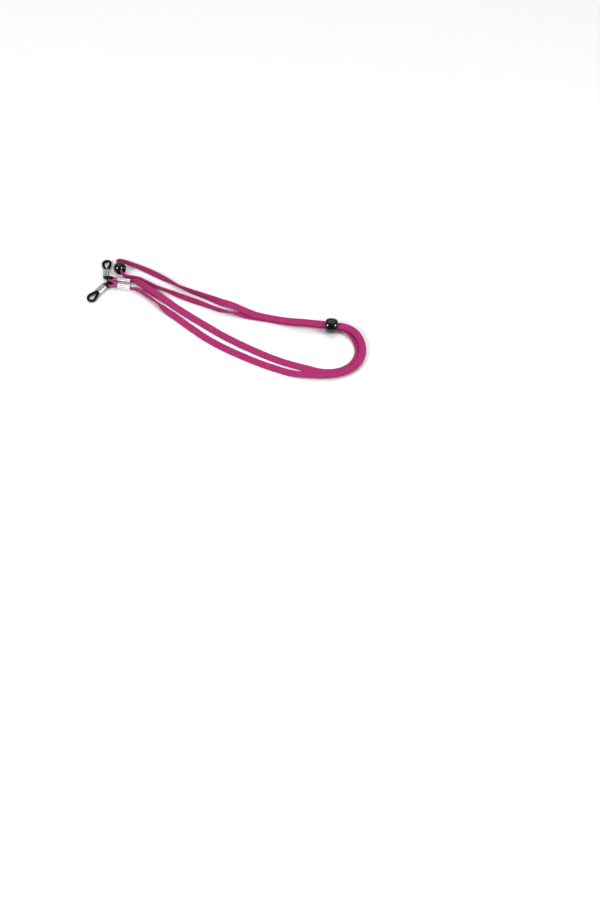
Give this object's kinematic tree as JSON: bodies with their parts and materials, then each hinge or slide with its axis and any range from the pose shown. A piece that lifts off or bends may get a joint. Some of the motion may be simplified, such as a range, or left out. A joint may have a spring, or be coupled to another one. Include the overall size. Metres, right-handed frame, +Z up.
{
  "type": "eyeglass retainer strap",
  "caption": "Flat woven cord for hanging spectacles from the neck, with rubber grip loops on crimped metal ferrules, a slider bead and a round stop bead.",
  "frame": {"origin": "centre of the strap's outline, on the surface that it lies on", "axes": "+X along the longest side, from the grip loops to the bend; +Y across; +Z up from the surface"},
  "size_m": [0.1732, 0.0866, 0.0096],
  "materials": {
    "woven_cord": "soft fine flat weave, slight sheen, magenta",
    "ferrule_metal": "bright plated crimp, drawn lines along its length",
    "sleeve_metal": "bright plated crimp, two barrels",
    "black_rubber": "smooth semi-matt silicone rubber",
    "bead_plastic": "polished black"
  },
  "bodies": {
    "strap": {"cord": "woven_cord", "eyelet_upper": "woven_cord", "eyelet_lower": "woven_cord", "ferrule_upper": "ferrule_metal", "ferrule_lower": "ferrule_metal"},
    "grip_upper": {"rubber_loop_upper": "black_rubber", "sleeve_upper": "sleeve_metal"},
    "grip_lower": {"rubber_loop_lower": "black_rubber", "sleeve_lower": "sleeve_metal"},
    "slider": {"slider_bead": "bead_plastic"},
    "stop": {"round_bead": "bead_plastic"}
  },
  "joints": [
    {"name": "grip_upper_swing", "type": "hinge", "parent": "strap", "child": "grip_upper", "pos_m": [-0.07215, 0.02746, 0.0029], "axis": [0, 0, 1], "range_deg": [-10, 30]},
    {"name": "grip_lower_swing", "type": "hinge", "parent": "strap", "child": "grip_lower", "pos_m": [-0.07175, 0.02346, 0.0029], "axis": [0, 0, 1], "range_deg": [-5, 50]},
    {"name": "slider_slide", "type": "slide", "parent": "strap", "child": "slider", "axis": [-0.9923, 0.124, 0], "range_m": [0, 0.012]},
    {"name": "stop_slide", "type": "slide", "parent": "strap", "child": "stop", "axis": [-0.4472, 0.8944, 0], "range_m": [-0.001, 0.001]}
  ]
}
